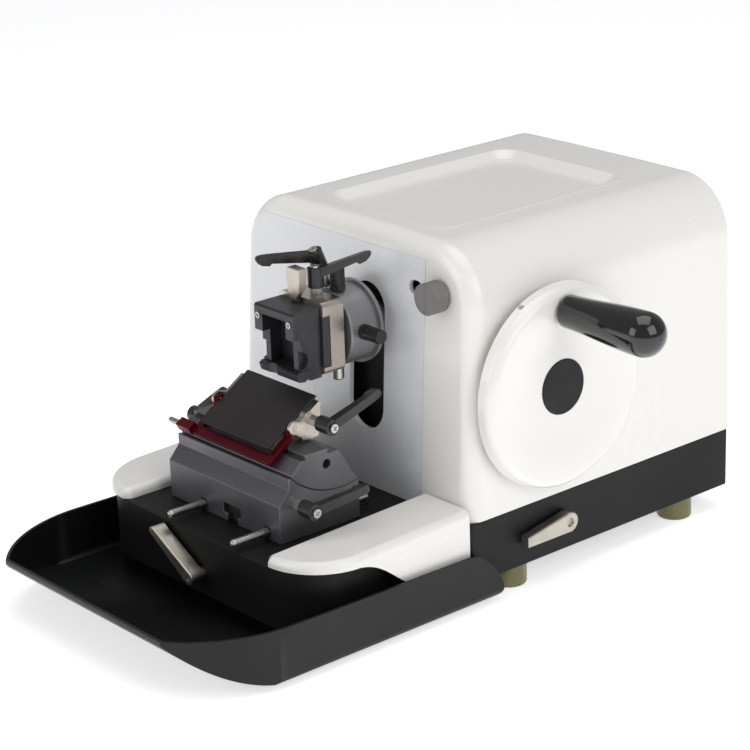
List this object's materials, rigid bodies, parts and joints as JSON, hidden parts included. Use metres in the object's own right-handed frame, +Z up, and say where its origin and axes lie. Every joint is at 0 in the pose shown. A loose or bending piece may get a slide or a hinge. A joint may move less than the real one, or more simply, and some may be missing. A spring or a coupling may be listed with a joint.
{
  "type": "rotary microtome",
  "caption": "Manual bench microtome: a side handwheel and crank, a sliding specimen head with cassette clamp, a blade holder on rods, and a lift-out waste tray.",
  "frame": {"origin": "middle of the footprint's bounding box, on the bench under the feet", "axes": "+Z up, +X to the operator's right where the handwheel is, +Y away from the operator"},
  "size_m": [0.4236, 0.5648, 0.2846],
  "materials": {
    "housing_white": "smooth glossy paint",
    "front_white": "smooth glossy paint",
    "base_black": "satin fine-textured paint",
    "tray_black": "semi-matte moulded plastic",
    "wheel_white": "smooth glossy paint",
    "cap_black": "matte moulded cap",
    "grip_black": "polished plastic",
    "lever_black": "satin moulded plastic",
    "stud_steel": "turned steel",
    "screw_steel": "plated steel",
    "foot_olive": "cast translucent polyurethane",
    "rod_steel": "ground stainless steel",
    "holder_slate": "anodised machined aluminium",
    "segment_slate": "anodised machined aluminium",
    "guard_red": "red anodised aluminium",
    "plate_charcoal": "ground and blackened steel",
    "blade_steel": "ground razor steel",
    "nickel_block": "nickel plated steel",
    "clamp_black": "black anodised aluminium",
    "head_slate": "slate anodised aluminium",
    "knob_black": "moulded plastic",
    "knob_grey": "ribbed moulded plastic",
    "dial_black": "printed dial",
    "lever_silver": "satin cast metal",
    "neck_steel": "ground steel",
    "cast_inner": "cast and machined",
    "bearing_steel": "hardened ground steel",
    "carriage_alu": "machined",
    "shield_black": "flexible shield sheet",
    "magnet_black": "rubber coated magnets"
  },
  "bodies": {
    "base": {"base_frame": "base_black", "feet": "foot_olive", "hood": "housing_white", "front_cover": "front_white", "rear_cover": "front_white", "cover_screws": "screw_steel", "right_arm_cover": "housing_white", "left_arm_cover": "housing_white", "tray_magnets": "magnet_black", "bearing_pedestal": "cast_inner", "shaft_bearings": "bearing_steel", "guide_column": "cast_inner", "guide_rails": "bearing_steel", "guide_rods": "rod_steel", "clamp_rail": "bearing_steel"},
    "tray": {"waste_tray": "tray_black"},
    "wheel": {"handwheel": "wheel_white", "handwheel_cap": "cap_black", "drive_shaft": "neck_steel", "crank_disc": "cast_inner", "crank_pin": "neck_steel", "grip_spindle": "rod_steel"},
    "grip": {"crank_grip": "grip_black"},
    "lock": {"wheel_lock_lever": "lever_silver"},
    "lift": {"carriage": "carriage_alu", "slot_shield": "shield_black"},
    "head": {"feed_cylinder": "neck_steel", "orientation_housing": "head_slate", "orientation_stud": "stud_steel", "return_plunger": "rod_steel"},
    "screw": {"feed_screw": "neck_steel", "ratchet_wheel": "neck_steel"},
    "coarse": {"coarse_feed_wheel": "knob_black", "coarse_feed_shaft": "neck_steel"},
    "side_knob": {"side_adjusting_knob": "knob_black"},
    "top_knob": {"top_adjusting_knob": "knob_black"},
    "turn_lever": {"orientation_lever": "lever_black"},
    "swivel": {"swivel_block": "nickel_block", "carrier_stud": "stud_steel"},
    "lock_lever": {"carrier_lever": "lever_black"},
    "cassette": {"cassette_clamp": "clamp_black", "clamp_screws": "screw_steel"},
    "jaw": {"clamp_jaw": "clamp_black"},
    "thumb": {"jaw_lever": "clamp_black"},
    "dial": {"thickness_knob": "knob_grey", "thickness_dial": "dial_black"},
    "deck_clamp": {"deck_lever": "lever_silver"},
    "holder": {"holder_base": "holder_slate", "segment_stud": "stud_steel"},
    "angle": {"segment": "segment_slate", "lateral_stud": "stud_steel"},
    "edge": {"blade_clamp": "nickel_block", "pressure_plate": "plate_charcoal", "blade": "blade_steel", "blade_stud": "stud_steel"},
    "guard": {"finger_guard": "guard_red", "guard_pins": "screw_steel"},
    "lever_right": {"segment_lever": "lever_black"},
    "lever_blade": {"blade_lever": "lever_black"},
    "lever_left": {"lateral_lever": "lever_black"}
  },
  "joints": [
    {"name": "handwheel_spin", "type": "hinge", "parent": "base", "child": "wheel", "pos_m": [0.0962, 0.07085, 0.1645], "axis": [1, 0, 0], "continuous": true},
    {"name": "grip_spin", "type": "hinge", "parent": "wheel", "child": "grip", "pos_m": [0.1562, 0.07085, 0.2275], "axis": [1, 0, 0], "continuous": true},
    {"name": "wheel_lock_turn", "type": "hinge", "parent": "base", "child": "lock", "pos_m": [0.0982, 0.08085, 0.047], "axis": [1, 0, 0], "range_deg": [-25, 35]},
    {"name": "head_stroke", "type": "slide", "parent": "base", "child": "lift", "axis": [0, 0, 1], "range_m": [-0.008, 0.008]},
    {"name": "specimen_feed", "type": "slide", "parent": "lift", "child": "head", "axis": [0, -1, 0], "range_m": [-0.01, 0.018]},
    {"name": "screw_spin", "type": "hinge", "parent": "lift", "child": "screw", "pos_m": [-0.0273, 0.14785, 0.21], "axis": [0, -1, 0], "range_deg": [-260, 470]},
    {"name": "coarse_feed_spin", "type": "hinge", "parent": "base", "child": "coarse", "pos_m": [-0.2, 0.14785, 0.17], "axis": [-1, 0, 0], "range_deg": [-260, 470]},
    {"name": "turn_lever_swing", "type": "hinge", "parent": "head", "child": "turn_lever", "pos_m": [-0.0338, -0.04323, 0.24248], "axis": [0, -0.3875, 0.9219], "range_deg": [-30, 1]},
    {"name": "head_swivel", "type": "hinge", "parent": "head", "child": "swivel", "pos_m": [-0.0273, -0.05315, 0.21], "axis": [0, 0, 1], "range_deg": [-6, 6]},
    {"name": "side_knob_turn", "type": "hinge", "parent": "head", "child": "side_knob", "pos_m": [0.0047, -0.03915, 0.2115], "axis": [1, 0, 0], "range_deg": [-360, 360]},
    {"name": "top_knob_turn", "type": "hinge", "parent": "head", "child": "top_knob", "pos_m": [-0.0218, -0.04265, 0.242], "axis": [0, 0, 1], "range_deg": [-360, 360]},
    {"name": "lock_lever_swing", "type": "hinge", "parent": "swivel", "child": "lock_lever", "pos_m": [-0.0244, -0.06205, 0.2414], "axis": [0, 0, 1], "range_deg": [-30, 4]},
    {"name": "clamp_slide", "type": "slide", "parent": "swivel", "child": "cassette", "axis": [1, 0, 0], "range_m": [0, 0.02]},
    {"name": "jaw_open", "type": "slide", "parent": "cassette", "child": "jaw", "axis": [0, 0, -1], "range_m": [0, 0.0035], "stiffness_N_per_m": 2000, "springref_m": -0.001},
    {"name": "thumb_tilt", "type": "hinge", "parent": "cassette", "child": "thumb", "pos_m": [-0.0294, -0.07865, 0.2377], "axis": [1, 0, 0], "range_deg": [0, 20.5]},
    {"name": "thickness_turn", "type": "hinge", "parent": "base", "child": "dial", "pos_m": [0.0567, -0.01315, 0.245], "axis": [0, -1, 0], "range_deg": [0, 300]},
    {"name": "deck_clamp_turn", "type": "hinge", "parent": "base", "child": "deck_clamp", "pos_m": [-0.0378, -0.17715, 0.038], "axis": [0, -1, 0], "range_deg": [0, 55]},
    {"name": "holder_approach", "type": "slide", "parent": "base", "child": "holder", "axis": [0, 1, 0], "range_m": [-0.028, 0.015]},
    {"name": "clearance_angle", "type": "hinge", "parent": "holder", "child": "angle", "pos_m": [-0.0478, -0.08215, 0.168], "axis": [1, 0, 0], "range_deg": [-8, 4]},
    {"name": "lateral_shift", "type": "slide", "parent": "angle", "child": "edge", "axis": [1, 0, 0], "range_m": [-0.012, 0.012]},
    {"name": "guard_swing", "type": "hinge", "parent": "edge", "child": "guard", "pos_m": [-0.0478, -0.10865, 0.1501], "axis": [-1, 0, 0], "range_deg": [0, 80]},
    {"name": "angle_lever_swing", "type": "hinge", "parent": "holder", "child": "lever_right", "pos_m": [0.0222, -0.12875, 0.1], "axis": [1, 0, 0], "range_deg": [-10, 30]},
    {"name": "blade_lever_swing", "type": "hinge", "parent": "edge", "child": "lever_blade", "pos_m": [0.0012, -0.09355, 0.1535], "axis": [1, 0, 0], "range_deg": [-30, 20]},
    {"name": "lateral_lever_swing", "type": "hinge", "parent": "angle", "child": "lever_left", "pos_m": [-0.1178, -0.10355, 0.1245], "axis": [-1, 0, 0], "range_deg": [-20, 25]},
    {"name": "tray_slide", "type": "slide", "parent": "base", "child": "tray", "axis": [0, -1, 0], "range_m": [0, 0.25]}
  ],
  "couplings": [
    {"joint": "screw_spin", "follows": "specimen_feed", "rad_per_m": 448.8},
    {"joint": "coarse_feed_spin", "follows": "specimen_feed", "rad_per_m": 448.8},
    {"joint": "side_knob_turn", "follows": "head_swivel", "ratio": 60},
    {"joint": "thumb_tilt", "follows": "jaw_open", "rad_per_m": 100}
  ]
}
